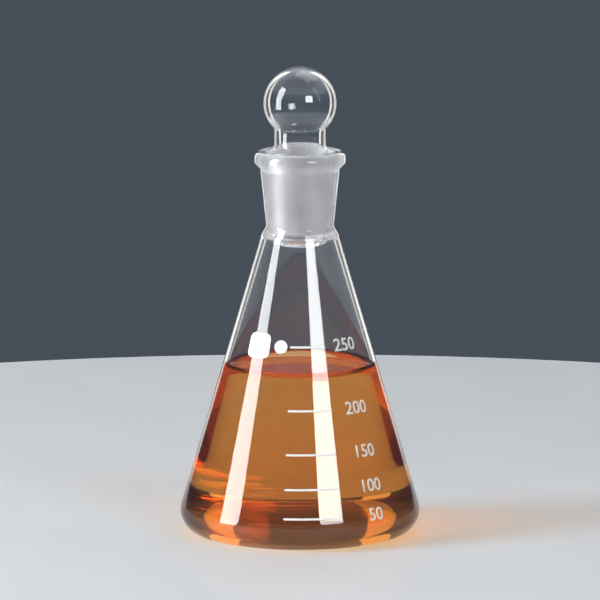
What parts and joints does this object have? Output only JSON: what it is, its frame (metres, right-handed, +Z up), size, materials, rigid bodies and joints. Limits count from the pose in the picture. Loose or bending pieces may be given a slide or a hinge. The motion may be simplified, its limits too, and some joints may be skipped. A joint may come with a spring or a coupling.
{
  "type": "erlenmeyer flask",
  "caption": "Conical glass flask with a ground joint, a hollow ball stopper that lifts out, a white enamel volume scale and an amber liquid inside.",
  "frame": {"origin": "centre of the standing ring, on the surface that the flask stands on", "axes": "+Z up along the flask's axis, through the neck and the stopper; the printed scale faces -Y"},
  "size_m": [0.087, 0.087, 0.1707],
  "materials": {
    "clear_glass": "gloss",
    "stopper_glass": "gloss",
    "amber_liquid": "clear liquid",
    "white_enamel": "satin"
  },
  "bodies": {
    "flask_body": {"flask": "clear_glass", "amber_liquid": "amber_liquid", "graduation_lines": "white_enamel", "graduation_numerals": "white_enamel", "marking_spots": "white_enamel"},
    "stopper_body": {"stopper": "stopper_glass"}
  },
  "joints": [
    {"name": "stopper_lift", "type": "slide", "parent": "flask_body", "child": "stopper_body", "axis": [0, 0, 1], "range_m": [0, 0.045]}
  ]
}
